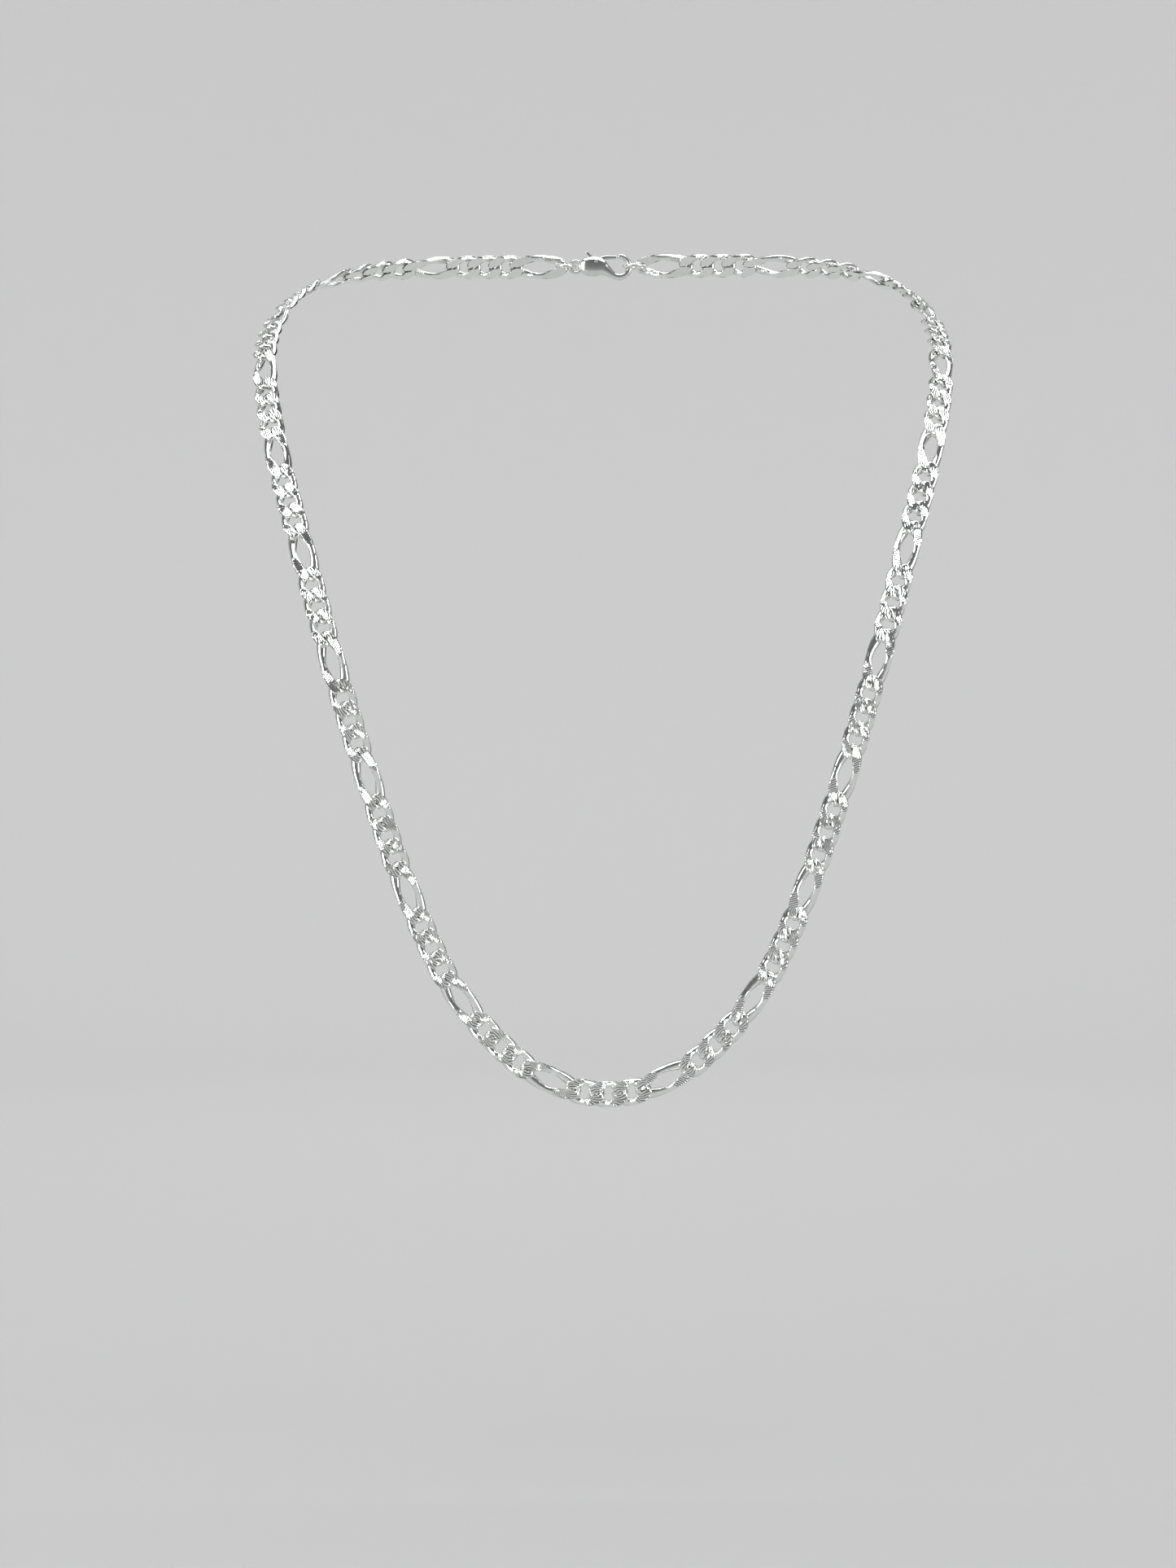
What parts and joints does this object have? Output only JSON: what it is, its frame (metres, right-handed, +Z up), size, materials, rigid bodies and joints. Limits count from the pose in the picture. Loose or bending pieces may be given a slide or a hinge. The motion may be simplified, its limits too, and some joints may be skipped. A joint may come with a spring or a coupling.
{
  "type": "flat figaro chain necklace",
  "caption": "Flat Figaro chain necklace hanging as worn: short links in threes between long links, closed at the nape by a lobster clasp and two rings.",
  "frame": {"origin": "on the clasp's flat back, where the necklace rests on the nape of the neck", "axes": "+Z up as worn, -Y to the front of the chest, +X to the right seen from the front"},
  "size_m": [0.1526, 0.0891, 0.1906],
  "materials": {
    "chain_silver": "polished sterling silver, flat ground and bright cut",
    "clasp_silver": "polished sterling silver, cast and tumbled",
    "spring_steel": "drawn stainless wire"
  },
  "bodies": {
    "shoulder_strands": {"short_trio_left_5": "chain_silver", "short_trio_right_5": "chain_silver", "short_trio_left_6": "chain_silver", "short_trio_right_6": "chain_silver", "short_trio_left_7": "chain_silver", "short_trio_right_7": "chain_silver", "short_trio_left_8": "chain_silver", "short_trio_right_8": "chain_silver", "short_trio_left_9": "chain_silver", "short_trio_right_9": "chain_silver", "short_trio_left_10": "chain_silver", "short_trio_right_10": "chain_silver", "short_trio_left_11": "chain_silver", "short_trio_right_11": "chain_silver", "long_link_left_6": "chain_silver", "long_link_right_6": "chain_silver", "long_link_left_7": "chain_silver", "long_link_right_7": "chain_silver", "long_link_left_8": "chain_silver", "long_link_right_8": "chain_silver", "long_link_left_9": "chain_silver", "long_link_right_9": "chain_silver", "long_link_left_10": "chain_silver", "long_link_right_10": "chain_silver", "long_link_left_11": "chain_silver", "long_link_right_11": "chain_silver", "long_link_left_12": "chain_silver", "long_link_right_12": "chain_silver", "clasp_body": "clasp_silver", "clasp_jump_ring": "clasp_silver", "end_ring": "clasp_silver", "lever_pin": "spring_steel", "lever_spring": "spring_steel"},
    "clasp_gate": {"clasp_lever": "clasp_silver"},
    "long_pair_5": {"long_link_left_5": "chain_silver", "long_link_right_5": "chain_silver"},
    "short_pair_4": {"short_trio_left_4": "chain_silver", "short_trio_right_4": "chain_silver"},
    "long_pair_4": {"long_link_left_4": "chain_silver", "long_link_right_4": "chain_silver"},
    "short_pair_3": {"short_trio_left_3": "chain_silver", "short_trio_right_3": "chain_silver"},
    "long_pair_3": {"long_link_left_3": "chain_silver", "long_link_right_3": "chain_silver"},
    "short_pair_2": {"short_trio_left_2": "chain_silver", "short_trio_right_2": "chain_silver"},
    "long_pair_2": {"long_link_left_2": "chain_silver", "long_link_right_2": "chain_silver"},
    "short_pair_1": {"short_trio_left_1": "chain_silver", "short_trio_right_1": "chain_silver"},
    "long_pair_1": {"long_link_left_1": "chain_silver", "long_link_right_1": "chain_silver"},
    "short_center": {"short_trio_center": "chain_silver"}
  },
  "joints": [
    {"name": "clasp_gate_hinge", "type": "hinge", "parent": "shoulder_strands", "child": "clasp_gate", "pos_m": [-0.0012, 0.0014, 0.0011], "axis": [0, 1, 0], "range_deg": [0, 25], "stiffness_Nm_per_rad": 0.01, "springref_deg": -20.05, "deforming": ["lever_spring"]},
    {"name": "long_pair_5_fold", "type": "hinge", "parent": "shoulder_strands", "child": "long_pair_5", "pos_m": [0, -0.08232, -0.08964], "axis": [1, 0, 0], "range_deg": [-12, 8]},
    {"name": "short_pair_4_fold", "type": "hinge", "parent": "long_pair_5", "child": "short_pair_4", "pos_m": [0, -0.08356, -0.09947], "axis": [1, 0, 0], "range_deg": [-12, 8]},
    {"name": "long_pair_4_fold", "type": "hinge", "parent": "short_pair_4", "child": "long_pair_4", "pos_m": [0, -0.08319, -0.11362], "axis": [1, 0, 0], "range_deg": [-12, 12]},
    {"name": "short_pair_3_fold", "type": "hinge", "parent": "long_pair_4", "child": "short_pair_3", "pos_m": [0, -0.0831, -0.12343], "axis": [1, 0, 0], "range_deg": [-12, 12]},
    {"name": "long_pair_3_fold", "type": "hinge", "parent": "short_pair_3", "child": "long_pair_3", "pos_m": [0, -0.0831, -0.13742], "axis": [1, 0, 0], "range_deg": [-12, 12]},
    {"name": "short_pair_2_fold", "type": "hinge", "parent": "long_pair_3", "child": "short_pair_2", "pos_m": [0, -0.0831, -0.14703], "axis": [1, 0, 0], "range_deg": [-12, 12]},
    {"name": "long_pair_2_fold", "type": "hinge", "parent": "short_pair_2", "child": "long_pair_2", "pos_m": [0, -0.0831, -0.16041], "axis": [1, 0, 0], "range_deg": [-12, 12]},
    {"name": "short_pair_1_fold", "type": "hinge", "parent": "long_pair_2", "child": "short_pair_1", "pos_m": [0, -0.0831, -0.16884], "axis": [1, 0, 0], "range_deg": [-12, 12]},
    {"name": "long_pair_1_fold", "type": "hinge", "parent": "short_pair_1", "child": "long_pair_1", "pos_m": [0, -0.0831, -0.17904], "axis": [1, 0, 0], "range_deg": [-10, 10]},
    {"name": "short_center_fold", "type": "hinge", "parent": "long_pair_1", "child": "short_center", "pos_m": [0, -0.0831, -0.1834], "axis": [1, 0, 0], "range_deg": [-10, 10]}
  ]
}
